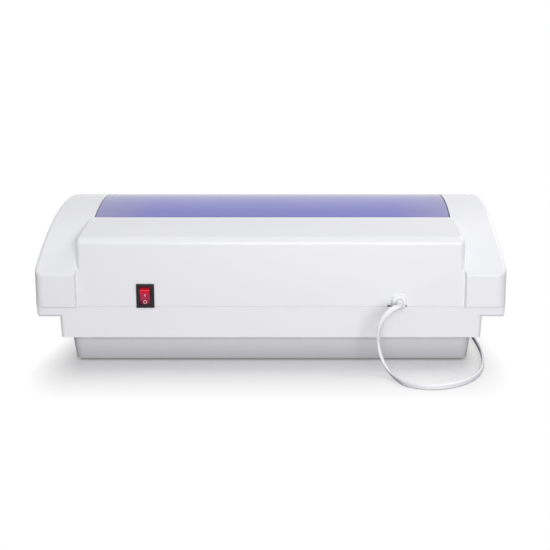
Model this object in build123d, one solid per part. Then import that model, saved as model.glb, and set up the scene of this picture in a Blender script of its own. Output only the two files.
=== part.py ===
from build123d import *
import os
from math import asin, cos, degrees, hypot, pi, radians, sin, sqrt, tan

# A bench steriliser for small tools. An arched violet lid turns up between two white
# cheeks, a raised box at the back holds the mains parts, and a germicidal tube lights
# the chamber. Lengths are in millimetres: +Z is up, the front faces -Y, the back +Y.
# The origin is on the table, under the middle of the housing.

# Housing, upper shell
wall = 2.5
half_width = 202.6
half_depth = 118.0
top_height = 138.0
seam_height = 50.0
seam_set_in = 0.6
cheek_end_height = 77.7
widest_rise = 0.7
cheek_lean_in = 7.5
plan_corner = 8.0
cheek_round = 3.0
crease_round = 20.0

# Raised box at the back
box_side_set_in = 36.3
recess_bevel = 1.4
box_set_in = 2.5
box_corner_drop = 29.0
box_depth = 49.5
box_front_drop = 16.5
box_back_round = 7.0
box_side_round = 4.0

# Chamber and the trough that the lid's back edge turns in
opening_set_in = 6.0
side_wall = 2.5
front_ledge_rise = 10.5
front_ledge_depth = 11.0
rest_ledge = 4.0
rest_ledge_set_in = 6.0
rest_gap = 0.3
trough_width = 10.0
trough_drop = 27.5
shell_gap = 0.3

# Lower shell, a two-step tub
flange_height = 8.5
rim_drop = 27.5
rim_set_in = 19.6
flange_corner = 4.0
rim_corner = 5.0
flange_bevel = 1.5
flange_bevel_draft = 35.0
rim_draft = 3.0
foot_step_side_set_in = 27.6
foot_step_set_in = 10.0
foot_step_corner = 10.0
foot_step_draft = 8.0
floor_height = 2.0

# Lid and its hinge
lid_thickness = 3.0
lid_side_gap = 1.2
lid_set_in = 6.0
lid_back_gap = 0.8
lid_edge_gap = 0.3
lid_lip_depth = 7.7
lid_lip_half_width = 42.0
lid_lip_height = 4.0
lid_lip_rise = 8.0
lid_lip_corner = 6.0
hinge_set_in = 6.6
hinge_depth = 4.0
knuckle_radius = 3.8
knuckle_length = 12.0
pin_radius = 1.5
pin_clearance = 0.06
pin_depth = 7.0
pin_end_gap = 0.5
pin_boss_radius = 3.5

# Screws that hold the two shells together, hidden in the step of the tub
screw_side_set_in = 26.6
screw_set_in = 30.0
screw_radius = 1.5
screw_head_radius = 2.4
screw_head_height = 2.0
screw_length = 20.0
screw_pocket = 4.0
screw_clearance = 0.2
tub_post_radius = 5.0
tub_post_height = 10.0
shell_post_radius = 3.4

# Rubber feet
foot_side_set_in = 56.6
foot_set_in = 32.0
foot_radius = 8.0

# Switch in the back wall, over the seam
switch_side_set_in = 95.1
switch_rise = 9.5
bezel_width = 15.4
bezel_height = 20.8
bezel_thickness = 2.0
switch_body_width = 12.8
switch_body_height = 18.4
switch_body_depth = 15.0
switch_clearance = 0.2
rocker_width = 8.4
rocker_height = 14.8
rocker_gap = 0.35
rocker_reach = 5.0
rocker_turn = 20.0
rocker_skirt = 1.0
rocker_hub = 2.4
rocker_round = 0.8
rocker_room = 4.5
pivot_radius = 1.1
pivot_clearance = 0.06
tab_width = 4.8
tab_thickness = 0.8
tab_length = 7.0

# Cord inlet
inlet_side_set_in = 92.1
inlet_rise = 3.7
notch_left = 5.6
notch_right = 7.6
notch_height = 7.6
chip_left = 6.4
chip_right = 10.4
chip_height = 1.2
shoulder_left = 5.5
shoulder_right = 6.4
shoulder_top = 7.4
relief_flange_radius = 6.2
relief_flange_thickness = 1.8
relief_nose = 7.0
relief_tail = 14.0
relief_end_radius = 2.9
relief_nose_radius = 3.9
relief_tail_radius = 4.4
relief_sink = 0.3

# Flat twin cord: the tube is as thick as the cord is wide
cord_width = 4.8
coil_side_set_in = 54.6
coil_set_out = 42.0
coil_outer = 38.0
coil_pitch = 6.1
coil_step = 5.3
coil_exit_run = 20.0
turns_in = 2.5
turns_climb = 0.5
turns_out = 2.25

# Plug
plug_length = 35.3
plug_width = 26.0
plug_thickness = 13.7
plug_root_width = 12.0
plug_root_thickness = 9.5
plug_shoulder_width = 21.0
plug_shoulder_thickness = 12.2
plug_shoulder_share = 0.35
plug_corner = 5.0
plug_relief_length = 22.0
rib_count = 5
rib_pitch = 3.4
rib_width = 1.6
rib_growth = 0.25
pin_spacing = 18.6
pin_sleeve_length = 10.0
pin_sleeve_radius = 1.9
plug_pin_radius = 2.0
plug_pin_length = 19.0

# Wire rack
rack_side_gap = 13.5
rack_back_gap = 12.0
rack_front_set_in = 24.0
rack_wire_radius = 1.5
rack_bar_radius = 1.0
rack_pitch = 20.0
rack_corner = 12.0
rack_height = 20.0
rack_peg_radius = 4.0
rack_gap = 0.3

# Lamp, holders and reflector
lamp_out = 22.0
lamp_drop = 12.0
lamp_radius = 8.0
lamp_cap_length = 8.2
lamp_cap_radius = 8.1
lamp_pin_length = 7.0
lamp_pin_radius = 1.15
lamp_pin_spacing = 4.75
holder_thickness = 12.0
holder_side_gap = 5.0
holder_under_lamp = 12.0
holder_over_lamp = 9.0
holder_before_lamp = 10.0
holder_slot = 3.2
holder_slot_room = 0.5
plate_thickness = 2.0
plate_gap = 0.2
sheet = 0.8
reflector_end_gap = 2.5
reflector_low_edge = 20.0
reflector_low_reach = 6.0
reflector_low_bend = 11.0
reflector_high_bend = 8.0
reflector_high_edge = 16.0
reflector_high_reach = 8.0

# Mains parts in the raised box
ballast_x = 22.0
ballast_core_length = 56.0
ballast_core_depth = 36.0
ballast_core_height = 28.0
winding_overhang = 9.0
winding_inset = 6.0
winding_gap = 0.1
pan_length = 92.0
pan_post_radius = 4.0
pan_post_height = 4.0
pan_screw_radius = 3.0
starter_x = -48.0
starter_radius = 10.75
starter_length = 34.0
starter_round = 1.5
socket_radius = 13.0
socket_height = 11.0
terminals_side_set_in = 94.6
terminals_length = 32.0
terminals_depth = 17.0
terminals_height = 15.0
terminal_pitch = 10.0
terminal_hole_radius = 2.0
mains_set_in = 33.5
vent_length = 28.0
vent_width = 3.0
vent_pitch = 7.0
vent_count = 9

cheek_rise = top_height - cheek_end_height
arch_radius = (half_depth**2 + cheek_rise**2) / (2 * cheek_rise)
arch_centre = top_height - arch_radius
seam_half_width = half_width - seam_set_in
widest_height = cheek_end_height + widest_rise
lean = cheek_lean_in / (top_height - widest_height)
above = top_height + 20
rear_plane = half_depth - box_set_in
box_half_width = half_width - box_side_set_in
box_front = rear_plane - box_depth
box_front_height = top_height - box_front_drop
box_corner_height = top_height - box_corner_drop
opening_half_width = box_half_width - opening_set_in
front_ledge_height = seam_height + front_ledge_rise
trough_front = box_front - trough_width
trough_floor = top_height - trough_drop
rest_ledge_back = trough_front - rest_ledge_set_in
rim_half_width = half_width - rim_set_in
foot_step_half_width = half_width - foot_step_side_set_in
foot_step_half_depth = half_depth - foot_step_set_in
step_height = seam_height - rim_drop
tub_top = seam_height - shell_gap
floor_top = floor_height + wall
screw_x = half_width - screw_side_set_in
screw_y = half_depth - screw_set_in
foot_x = half_width - foot_side_set_in
foot_y = half_depth - foot_set_in
lid_front = half_depth - lid_set_in
lid_half_width = opening_half_width - lid_side_gap
knuckle_inner = lid_half_width - knuckle_length
hinge_y = box_front - hinge_set_in
hinge_z = arch_centre + sqrt((arch_radius - hinge_depth)**2 - hinge_y**2)
switch_x = half_width - switch_side_set_in
switch_z = seam_height + switch_rise
inlet_x = inlet_side_set_in - half_width
inlet_z = seam_height + inlet_rise
coil_x = coil_side_set_in - half_width
coil_y = -half_depth - coil_set_out
plate_front = trough_front + plate_gap
plate_back = plate_front + plate_thickness
lamp_y = trough_front - lamp_out
lamp_z = trough_floor - lamp_drop
holder_end = opening_half_width - holder_side_gap
lamp_glass_half = holder_end - holder_thickness - shell_gap - lamp_cap_length
holder_low = lamp_z - holder_under_lamp
holder_high = lamp_z + holder_over_lamp
holder_front = lamp_y - holder_before_lamp
rack_half_length = opening_half_width - rack_side_gap
rack_back = trough_front - rack_back_gap
rack_front = half_depth - rack_front_set_in
mains_y = rear_plane - mains_set_in
terminals_x = terminals_side_set_in - half_width

def upright(*points):
    """A face in the Y-Z plane through the given (y, z) corners."""
    return Plane.YZ * make_face(Polyline(*points, close=True))


def across(face, half):
    """A Y-Z face drawn out to both sides, half of the width each way."""
    return extrude(face, amount=half, both=True)


def block(low, high):
    """A box between two opposite corners."""
    size = [b - a for a, b in zip(low, high)]
    middle = [(a + b) / 2 for a, b in zip(low, high)]
    return Pos(*middle) * Box(*size)


def rod(start, end, radius):
    """A round bar from one point to another."""
    along = Vector(*end) - Vector(*start)
    return extrude(Plane(start, z_dir=along) * Circle(radius), amount=along.length)


def arch_height(y, radius=arch_radius):
    return arch_centre + sqrt(radius**2 - y**2)


def arch_body(inset, half_length, low):
    """The cheeks' D-shaped form: arched from the side, leaning in from the front, round in plan."""
    radius = arch_radius - inset
    past = half_length + 1
    end = arch_height(past, radius)
    side = make_face(
        [
            Line((-past, low), (past, low)),
            Line((past, low), (past, end)),
            ThreePointArc((past, end), (0, arch_centre + radius), (-past, end)),
            Line((-past, end), (-past, low)),
        ]
    )
    right = [
        (seam_half_width - inset, low),
        (half_width - inset, widest_height),
        (half_width - inset - lean * (above - widest_height), above),
    ]
    front = make_face(Polyline(*right, *[(-x, z) for x, z in reversed(right)], close=True))
    creases = front.vertices().filter_by(lambda v: abs(v.Y - widest_height) < 0.01)
    front = fillet(creases, crease_round)
    plan = RectangleRounded(2 * (half_width - inset), 2 * half_length, plan_corner - inset)
    return (
        across(Plane.YZ * side, half_width + 1)
        & extrude(Plane.XZ * front, amount=past, both=True)
        & extrude(Pos(0, 0, low) * plan, amount=above - low)
    )


def on_arch(edge):
    return all(
        abs(hypot((edge @ t).Y, (edge @ t).Z - arch_centre) - arch_radius) < 0.02
        for t in (0.1, 0.5, 0.9)
    )


def box_outline(inset, low, front):
    """The raised box from the side, its roof sloping up to the front and round at the back."""
    slope = (box_front_height - box_corner_height) / (rear_plane - box_front)
    drop = inset * sqrt(1 + slope**2)

    def roof(y):
        return box_corner_height + slope * (rear_plane - y) - drop

    back = rear_plane - inset
    outline = make_face(
        Polyline((front, low), (back, low), (back, roof(back)), (front, roof(front)), close=True)
    )
    corner = outline.vertices().sort_by(Axis.X)[-2:].sort_by(Axis.Y)[-1:]
    return Plane.YZ * fillet(corner, box_back_round - inset)


def box_body(inset, half, low, front):
    """The raised box with its rounded roof and sides."""
    body = across(box_outline(inset, low, front), half)
    rims = body.edges().filter_by(
        lambda e: abs(abs(e.center().X) - half) < 0.01
        and max((e @ 0).Y, (e @ 1).Y) > front + 1
        and max((e @ 0).Z, (e @ 1).Z) > low + 1
    )
    return fillet(rims, box_side_round - inset)


def chamber_cut():
    """What is open between the cheeks: the chamber, its front and the lid's trough."""
    face_plane = -(half_depth + 1)
    ledge_back = -(half_depth - front_ledge_depth)
    outline = upright(
        (face_plane, front_ledge_height),
        (ledge_back, front_ledge_height),
        (ledge_back, front_ledge_height - wall),
        (wall - half_depth, front_ledge_height - wall),
        (wall - half_depth, seam_height - 1),
        (trough_front, seam_height - 1),
        (trough_front, trough_floor),
        (box_front, trough_floor),
        (box_front, above),
        (face_plane, above),
    )
    return across(outline, opening_half_width)


def mains_room():
    """The hollow of the raised box, behind and under the trough."""
    roof_start = box_front + wall
    high = box_body(wall, opening_half_width, seam_height - 1, roof_start)
    low = block(
        (-opening_half_width, trough_front - 1, seam_height - 1),
        (opening_half_width, roof_start + 1, trough_floor - wall),
    )
    return high + low


def cheek_hollows():
    """The hollows of the two cheeks, outside the chamber's side walls."""
    inner = arch_body(wall, half_depth - wall - box_set_in, seam_height - 1)
    side = opening_half_width + side_wall
    return inner - block((-side, -half_depth, 0), (side, half_depth, above))


def chamber_sides():
    """The chamber's side walls, down to the tub's floor, and the ledges that the lid lies over."""
    draft = tan(radians(foot_step_draft)) * step_height
    front = foot_step_half_depth - wall - draft - wall
    ledge_radius = arch_radius - lid_thickness - rest_gap
    ledge_front = half_depth - front_ledge_depth - wall
    disc = Plane.YZ * Pos(0, arch_centre) * (Circle(ledge_radius) - Circle(ledge_radius - wall))
    parts = []
    for side in (-1, 1):
        inner, outer = sorted((side * opening_half_width, side * (opening_half_width + side_wall)))
        parts.append(
            block(
                (inner, -front, floor_top + shell_gap),
                (outer, trough_front, seam_height + 1),
            )
        )
        low, high = sorted((side * (opening_half_width - rest_ledge), side * (opening_half_width + 1)))
        slab = block((low, -ledge_front, seam_height), (high, rest_ledge_back, above))
        parts.append(across(disc, half_width) & slab)
    return parts


def shell_posts():
    """The upper shell's four screw posts, each with a web to the chamber's side wall."""
    top = arch_height(screw_y + shell_post_radius) - wall / 2
    low = step_height + tub_post_height + shell_gap
    posts = []
    for x in (-screw_x, screw_x):
        for y in (-screw_y, screw_y):
            post = rod((x, y, low), (x, y, top), shell_post_radius)
            inner = (opening_half_width + side_wall / 2) * (1 if x > 0 else -1)
            web_low, web_high = sorted((inner, x))
            post += block(
                (web_low, y - wall / 2, seam_height + wall), (web_high, y + wall / 2, top - wall)
            )
            hole_top = low + screw_length
            posts.append((post, rod((x, y, low - 1), (x, y, hole_top), screw_radius)))
    return posts


def pin_bosses():
    """The hinge pins' bosses on the outer side of the chamber's walls, with their holes."""
    bosses = []
    for side in (-1, 1):
        wall_face = side * opening_half_width
        inside = side * (opening_half_width + side_wall / 2)
        end = side * (opening_half_width + pin_depth)
        boss = rod(
            (inside, hinge_y, hinge_z),
            (end + side * wall, hinge_y, hinge_z),
            pin_boss_radius,
        )
        hole = rod((wall_face - side, hinge_y, hinge_z), (end, hinge_y, hinge_z), pin_radius)
        bosses.append((boss, hole))
    return bosses


def wall_openings():
    """The switch's hole and the cord's notch, both open to the seam, the notch wider at its foot."""
    half = switch_body_width / 2 + switch_clearance
    back = half_depth + 1
    front = rear_plane - wall - 1
    top = switch_z + switch_body_height / 2 + switch_clearance
    switch = block((switch_x - half, front, seam_height - 1), (switch_x + half, back, top))
    notch_top = seam_height + notch_height
    notch = block(
        (inlet_x - notch_left, front, seam_height - 1), (inlet_x + notch_right, back, notch_top)
    )
    chip = block(
        (inlet_x - chip_left, front, seam_height - 1),
        (inlet_x + chip_right, back, seam_height + chip_height),
    )
    return switch + notch + chip


def bevelled_recess():
    """The space behind the raised box, with sloping sides, that the cheeks stand out from."""
    back = half_depth + 1
    spread = box_half_width + recess_bevel * (back - rear_plane) / box_set_in
    plan = make_face(
        Polyline(
            (-box_half_width, rear_plane), (box_half_width, rear_plane),
            (spread, back), (-spread, back), close=True,
        )
    )
    return extrude(Pos(0, 0, seam_height - 1) * plan, amount=above - seam_height)


def upper_shell():
    body = arch_body(0, half_depth, seam_height)
    body = fillet(body.edges().filter_by(on_arch), cheek_round)
    body -= bevelled_recess()
    body += box_body(0, box_half_width, seam_height, trough_front)
    body -= chamber_cut()
    body -= mains_room()
    body -= cheek_hollows()
    for piece in chamber_sides():
        body += piece
    for post, hole in shell_posts():
        body = body + post - hole
    for boss, hole in pin_bosses():
        body = body + boss - hole
    return body - wall_openings()


def tier(half_x, half_y, corner, high, low, draft):
    """One step of the tub, narrower towards its bottom."""
    plane = Plane((0, 0, high), x_dir=(1, 0, 0), z_dir=(0, 0, -1))
    return extrude(plane * RectangleRounded(2 * half_x, 2 * half_y, corner), high - low, taper=draft)


def tub_form(inset, rise, top):
    """The tub's three steps; the hollow is the same form, inset and lifted off each step."""
    flange_low = tub_top - flange_height + rise
    step = step_height + rise
    bevel_high = flange_low + flange_bevel
    draft_in = tan(radians(rim_draft)) * (top - bevel_high)
    return (
        tier(
            seam_half_width - inset, rear_plane - inset, flange_corner - inset,
            top, bevel_high, rim_draft,
        )
        + tier(
            seam_half_width - inset - draft_in, rear_plane - inset - draft_in,
            flange_corner - inset - draft_in, bevel_high, flange_low, flange_bevel_draft,
        )
        + tier(
            rim_half_width - inset, rear_plane - inset, rim_corner - inset,
            top, step, rim_draft,
        )
        + tier(
            foot_step_half_width - inset, foot_step_half_depth - inset,
            foot_step_corner - inset, step, floor_height + rise, foot_step_draft,
        )
    )


def pan_posts():
    """Where the tub's two posts under the ballast pan stand, across the housing."""
    reach = pan_length / 2 - pan_post_radius
    return (ballast_x - reach, ballast_x + reach)


def vents():
    """Slots in the tub's floor, under the ballast."""
    slots = []
    for i in range(vent_count):
        x = ballast_x + (i - (vent_count - 1) / 2) * vent_pitch
        slot = Pos(x, mains_y, 0) * SlotOverall(vent_length, vent_width, rotation=90)
        slots.append(extrude(slot, amount=floor_top + 1))
    return slots


def tub_posts():
    """Hollow posts over the step, which take the screws' heads from below."""
    posts = []
    for x in (-screw_x, screw_x):
        for y in (-screw_y, screw_y):
            post = rod(
                (x, y, step_height + wall / 2), (x, y, step_height + tub_post_height), tub_post_radius
            )
            pocket = rod(
                (x, y, step_height - 1),
                (x, y, step_height + screw_pocket),
                screw_head_radius + screw_clearance,
            )
            bore = rod(
                (x, y, step_height), (x, y, seam_height), screw_radius + screw_clearance
            )
            posts.append((post, pocket + bore))
    return posts


def base_shell():
    outside = tub_form(0, 0, tub_top)
    body = outside - tub_form(wall, wall, tub_top + 1)
    for post, hole in tub_posts():
        body = body + (post & outside) - hole
    for x in (-1, 1):
        for y in (-rack_front, rack_back):
            peg_x = x * (rack_half_length - rack_corner - rack_peg_radius)
            body += rod((peg_x, y, floor_top - 1), (peg_x, y, rack_height - rack_gap), rack_peg_radius)
    top = floor_top + pan_post_height
    for x in pan_posts():
        body += rod((x, mains_y, floor_top - 1), (x, mains_y, top), pan_post_radius)
        body -= rod((x, mains_y, floor_top), (x, mains_y, top + 1), screw_radius)
    for slot in vents():
        body -= slot
    return body


def lid():
    outer, inner = arch_radius, arch_radius - lid_thickness
    back = box_front - lid_back_gap
    low = front_ledge_height + lid_edge_gap
    front, front_in = -lid_front, lid_thickness - lid_front
    back_in = back * inner / outer
    outline = make_face(
        [
            ThreePointArc((back, arch_height(back)), (0, top_height), (front, arch_height(front))),
            Line((front, arch_height(front)), (front, low)),
            Line((front, low), (front_in, low)),
            Line((front_in, low), (front_in, arch_height(front_in, inner))),
            ThreePointArc(
                (front_in, arch_height(front_in, inner)),
                (0, arch_centre + inner),
                (back_in, arch_height(back_in, inner)),
            ),
            Line((back_in, arch_height(back_in, inner)), (back, arch_height(back))),
        ]
    )
    bends = outline.vertices().filter_by(lambda v: v.X < front_in + 0.01 and v.Y > low + 1)
    outline = fillet(bends.sort_by(Axis.X)[:1], 4 * lid_thickness)
    bends = outline.vertices().filter_by(lambda v: abs(v.X - front_in) < 0.01 and v.Y > low + 1)
    outline = fillet(bends, 3 * lid_thickness)
    body = across(Plane.YZ * outline, lid_half_width)
    lip_low = low + lid_lip_rise
    lip = block(
        (-lid_lip_half_width, -lid_front - lid_lip_depth, lip_low),
        (lid_lip_half_width, -lid_front + lid_thickness / 2, lip_low + lid_lip_height),
    )
    corners = lip.edges().filter_by(Axis.Z).sort_by(Axis.Y)[:2]
    body += fillet(corners, lid_lip_corner)
    for side in (-1, 1):
        start = (side * knuckle_inner, hinge_y, hinge_z)
        end = (side * lid_half_width, hinge_y, hinge_z)
        body += rod(start, end, knuckle_radius)
    for side in (-1, 1):
        start = (side * (knuckle_inner - 1), hinge_y, hinge_z)
        end = (side * (lid_half_width + 1), hinge_y, hinge_z)
        body -= rod(start, end, pin_radius + pin_clearance)
    return body


def hinge_pins():
    pins = []
    for side in (-1, 1):
        start = (side * (knuckle_inner + pin_end_gap), hinge_y, hinge_z)
        end = (side * (opening_half_width + pin_depth), hinge_y, hinge_z)
        pins.append(rod(start, end, pin_radius))
    return pins


def shell_screws():
    screws = []
    for x in (-screw_x, screw_x):
        for y in (-screw_y, screw_y):
            seat = step_height + screw_pocket
            head = rod((x, y, seat - screw_head_height), (x, y, seat), screw_head_radius)
            screws.append(head + rod((x, y, seat), (x, y, seat + screw_length), screw_radius))
    return screws


def feet():
    pads = []
    for x in (-foot_x, foot_x):
        for y in (-foot_y, foot_y):
            pad = rod((x, y, 0), (x, y, floor_height), foot_radius)
            pads.append(chamfer(pad.edges().sort_by(Axis.Z)[:1], floor_height / 4))
    return pads


def switch_housing():
    """The bezel and the body behind the wall, with a pocket for the rocker and pivot holes."""
    body = block(
        (-switch_body_width / 2, -switch_body_depth, -switch_body_height / 2),
        (switch_body_width / 2, 0, switch_body_height / 2),
    )
    bezel = block(
        (-bezel_width / 2, 0, -bezel_height / 2),
        (bezel_width / 2, bezel_thickness, bezel_height / 2),
    )
    rim = bezel.edges().filter_by(lambda e: e.center().Y > bezel_thickness - 0.01)
    body += fillet(rim, bezel_thickness / 3)
    half_x = rocker_width / 2 + rocker_gap
    half_z = rocker_height / 2 + rocker_gap
    pocket_floor = bezel_thickness - rocker_reach - rocker_room
    body -= block((-half_x, pocket_floor, -half_z), (half_x, bezel_thickness + 1, half_z))
    pivot_y = bezel_thickness - rocker_reach
    bore = pivot_radius + pivot_clearance
    body -= rod((-switch_body_width, pivot_y, 0), (switch_body_width, pivot_y, 0), bore)
    return Pos(switch_x, rear_plane, switch_z) * body


def switch_rocker():
    """A see-saw key with a shallow V face, its lower end pressed in, turning on two stubs."""
    half = radians(rocker_turn / 2)
    top, reach = rocker_height / 2, rocker_reach

    def tilted(z, y):
        return (y * cos(half) + z * sin(half), z * cos(half) - y * sin(half))

    end_front, end_back = tilted(top, reach), tilted(top, -rocker_skirt)
    middle = reach / cos(half)
    outline = upright(
        (middle, 0),
        end_front,
        end_back,
        (-rocker_hub, rocker_hub),
        (-rocker_hub, -rocker_hub),
        (end_back[0], -end_back[1]),
        (end_front[0], -end_front[1]),
    )
    key = across(outline, rocker_width / 2)
    ends = key.edges().filter_by(lambda e: e.center().Y > middle - 0.1)
    key = fillet(ends.filter_by(Axis.X).sort_by(Axis.Z)[-1:], rocker_round)
    reach_x = switch_body_width / 2
    key += rod((-reach_x, 0, 0), (reach_x, 0, 0), pivot_radius)
    key = key.rotate(Axis.X, -rocker_turn / 2)
    return Pos(switch_x, rear_plane + bezel_thickness - rocker_reach, switch_z) * key


def switch_tabs():
    tabs = []
    back = rear_plane - switch_body_depth
    for z in (-switch_body_height / 4, switch_body_height / 4):
        tab = block(
            (switch_x - tab_width / 2, back - tab_length, switch_z + z - tab_thickness / 2),
            (switch_x + tab_width / 2, back, switch_z + z + tab_thickness / 2),
        )
        tabs.append(tab)
    return tabs


def strain_relief():
    """A clamping bush: a square shoulder in the notch, a round flange, a tapered tail and nose."""
    wall_in = rear_plane - wall

    def disc(y, radius):
        plane = Plane((inlet_x, y, inlet_z), x_dir=(1, 0, 0), z_dir=(0, 1, 0))
        return plane * Circle(radius)

    flange = extrude(disc(rear_plane, relief_flange_radius), relief_flange_thickness)
    flange = fillet(flange.edges().sort_by(Axis.Y)[-1:], relief_flange_thickness / 2)
    nose_start = rear_plane + relief_flange_thickness
    nose = loft(
        [
            disc(nose_start - relief_sink, relief_nose_radius),
            disc(rear_plane + relief_nose, relief_end_radius),
        ]
    )
    shoulder = block(
        (inlet_x - shoulder_left, wall_in, seam_height),
        (inlet_x + shoulder_right, rear_plane, seam_height + shoulder_top),
    )
    tail = loft(
        [
            disc(wall_in - relief_tail, relief_end_radius),
            disc(wall_in + relief_sink, relief_tail_radius),
        ]
    )
    return flange + nose + shoulder + tail


def cord_route():
    """Free stretch of the cord, from the bush down to the table and round the housing's side."""
    x, y, lie = inlet_x, rear_plane, cord_width / 2
    return [
        (x, y + relief_nose, inlet_z),
        (x, y + 15.6, inlet_z),
        (x + 4.6, y + 23.9, 54.0),
        (x + 12.1, y + 30.5, 51.4),
        (x + 17.8, y + 34.1, 43.9),
        (x + 20.3, y + 33.9, 34.2),
        (x + 20.2, y + 32.4, 24.0),
        (x + 18.1, y + 34.0, 14.4),
        (x + 14.4, y + 40.0, 6.8),
        (x + 10.3, y + 48.6, 2.9),
        (x + 7.2, y + 60.0, lie),
        (x + 2.6, y + 76.0, lie),
        (x - 18.0, y + 87.0, lie),
        (x - 43.0, y + 75.0, lie),
        (x - 62.0, y + 46.5, lie),
        (x - 73.0, y + 5.5, lie),
        (x - 79.0, y - 43.5, lie),
        (x - 81.0, y - 93.5, lie),
        (x - 81.0, y - 143.5, lie),
        (x - 79.0, y - 193.5, lie),
        (coil_x - coil_outer, 6 - half_depth, lie),
        (coil_x - coil_outer, coil_y, lie),
    ]


def bend_radii(points):
    """An arc for each corner, as large as its two runs allow."""
    spots = [Vector(*p) for p in points]
    radii = []
    for before, here, after in zip(spots, spots[1:], spots[2:]):
        run_in, run_out = here - before, after - here
        turn = radians(run_in.get_angle(run_out))
        radii.append(0.45 * min(run_in.length, run_out.length) / tan(turn / 2))
    return radii


def mains_cord():
    points = cord_route()
    radii = bend_radii(points)
    path = FilletPolyline(*points, radius=radii)
    start = Plane(points[0], z_dir=Vector(*points[1]) - Vector(*points[0]))
    tube = sweep(start * Circle(cord_width / 2), path=path)
    print("cord radii", [round(r, 1) for r in radii])
    print("cord length", round(path.length, 1), "volume ratio",
          round(tube.volume / (pi * cord_width**2 / 4 * path.length), 4))
    return tube, path.length


def coil_point(turn):
    """Centre line of the coil after so many turns, from its outside, in and out again."""
    inner = coil_outer - coil_pitch * turns_in
    low = cord_width / 2
    if turn <= turns_in:
        radius, height = coil_outer - coil_pitch * turn, low
    elif turn <= turns_in + turns_climb:
        share = (turn - turns_in) / turns_climb
        radius, height = inner, low + coil_step * (1 - cos(pi * share)) / 2
    else:
        radius, height = inner + coil_pitch * (turn - turns_in - turns_climb), low + coil_step
    angle = pi + 2 * pi * turn
    return Vector(coil_x + radius * cos(angle), coil_y + radius * sin(angle), height)


def coil_heading(turn, total):
    small = 1e-4
    a, b = max(turn - small, 0), min(turn + small, total)
    return (coil_point(b) - coil_point(a)).normalized()


def biarc(start, heading, end, end_heading):
    """Two arcs that leave and arrive along the given headings."""
    gap = end - start
    both = heading + end_heading
    a = 2 * (1 - heading.dot(end_heading))
    b = 2 * gap.dot(both)
    c = -gap.dot(gap)
    reach = (-b + sqrt(b * b - 4 * a * c)) / (2 * a)
    first, second = start + heading * reach, end - end_heading * reach
    joint = (first + second) * 0.5
    return [
        Edge.make_tangent_arc(start, heading, joint),
        Edge.make_tangent_arc(joint, second - first, end),
    ]


def cord_coil():
    """The put-away length: two layers of turns, in below and out above, in one tube."""
    total = turns_in + turns_climb + turns_out
    steps = round(total * 4)
    stations = [coil_point(i / 4) for i in range(steps + 1)]
    headings = [coil_heading(i / 4, total) for i in range(steps + 1)]
    headings[0] = Vector(0, -1, 0)
    headings[-1] = plug_heading()
    edges = []
    for i in range(steps):
        edges += biarc(stations[i], headings[i], stations[i + 1], headings[i + 1])
    tail = stations[-1] + headings[-1] * coil_exit_run
    edges.append(Edge.make_line(stations[-1], tail))
    path = Wire(edges)
    start = Plane(stations[0], z_dir=headings[0])
    tube = sweep(start * Circle(cord_width / 2), path=path)
    print("coil length", round(path.length, 1), "volume ratio",
          round(tube.volume / (pi * cord_width**2 / 4 * path.length), 4),
          "least gap to itself", round(least_gap(path), 2))
    return tube, path.length


def least_gap(path):
    """The least space between the coil's turns, on points along its middle line."""
    count = 700
    spots = [path @ (i / count) for i in range(count + 1)]
    step = path.length / count
    apart = int(3 * cord_width / step)
    least = min(
        (spots[i] - spots[j]).length for i in range(count + 1) for j in range(i + apart, count + 1)
    )
    return least - cord_width


def plug_heading():
    """Towards the plug's pins, dipping until the plug's front edge rests on the table."""
    length = coil_exit_run + plug_relief_length + plug_length
    dip = (cord_width / 2 + coil_step - plug_thickness / 2) / length
    return Vector(1, 0, -dip).normalized()


def plug_plane(along):
    """A plane across the plug, so far from the end of the cord."""
    total = turns_in + turns_climb + turns_out
    start = coil_point(total) + plug_heading() * coil_exit_run
    return Plane(start + plug_heading() * along, x_dir=(0, 1, 0), z_dir=plug_heading())


def plug_body():
    """A flat two-pin plug: a ribbed relief, a waisted grip and the sleeves of its pins."""
    def section(along, width, thickness, corner):
        return plug_plane(along) * RectangleRounded(width, thickness, corner)

    def ring(along, radius):
        return plug_plane(along) * Circle(radius)

    root = plug_relief_length
    body = loft([ring(0, relief_end_radius), ring(root + 1, relief_tail_radius)])
    for i in range(rib_count):
        rib = ring((i + 0.9) * rib_pitch, relief_nose_radius + i * rib_growth)
        body += extrude(rib, rib_width)
    shoulder = root + plug_shoulder_share * plug_length
    grip = loft(
        [
            section(root, plug_root_width, plug_root_thickness, plug_corner - 1),
            section(shoulder, plug_shoulder_width, plug_shoulder_thickness, plug_corner),
            section(root + plug_length, plug_width, plug_thickness, plug_corner + 1),
        ]
    )
    body += grip
    for side in (-1, 1):
        sleeve = plug_plane(root + plug_length - 1) * Pos(side * pin_spacing / 2, 0)
        body += extrude(sleeve * Circle(pin_sleeve_radius), pin_sleeve_length + 1)
    return body


def plug_pins():
    pins = []
    start = plug_relief_length + plug_length + pin_sleeve_length
    for side in (-1, 1):
        place = plug_plane(start) * Pos(side * pin_spacing / 2, 0)
        pin = extrude(place * Circle(plug_pin_radius), plug_pin_length - pin_sleeve_length)
        pins.append(fillet(pin.edges().sort_by(Axis.X)[-1:], plug_pin_radius / 2))
    return pins


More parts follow.
